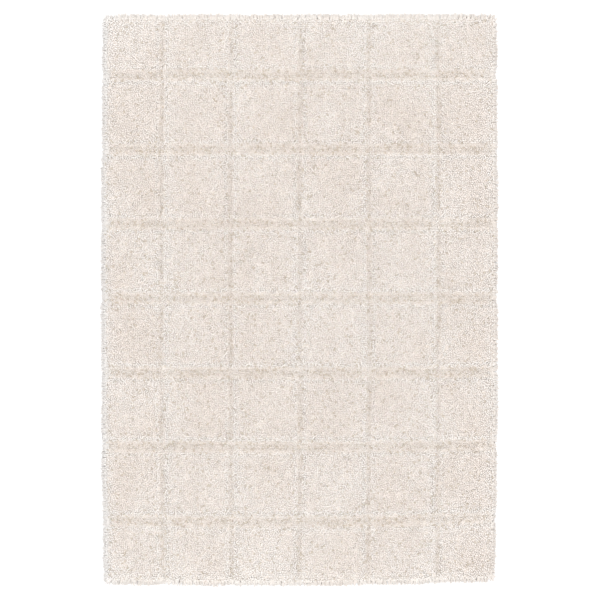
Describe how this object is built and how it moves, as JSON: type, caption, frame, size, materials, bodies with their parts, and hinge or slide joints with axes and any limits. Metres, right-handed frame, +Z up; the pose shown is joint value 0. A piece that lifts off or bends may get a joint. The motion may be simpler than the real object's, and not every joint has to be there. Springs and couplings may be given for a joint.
{
  "type": "shag rug",
  "caption": "Rectangular deep-pile rug, cream, its pile carved into a grid of low blocks, with a flat underside.",
  "frame": {"origin": "on the floor under the middle of the rug's outline", "axes": "+X across the rug, +Y along its length, +Z up out of the pile"},
  "size_m": [1.6, 2.3, 0.04],
  "materials": {
    "pile_yarn": "matt cream shag pile, slightly glossy fibre"
  },
  "bodies": {
    "root": {"rug": "pile_yarn"}
  },
  "joints": []
}
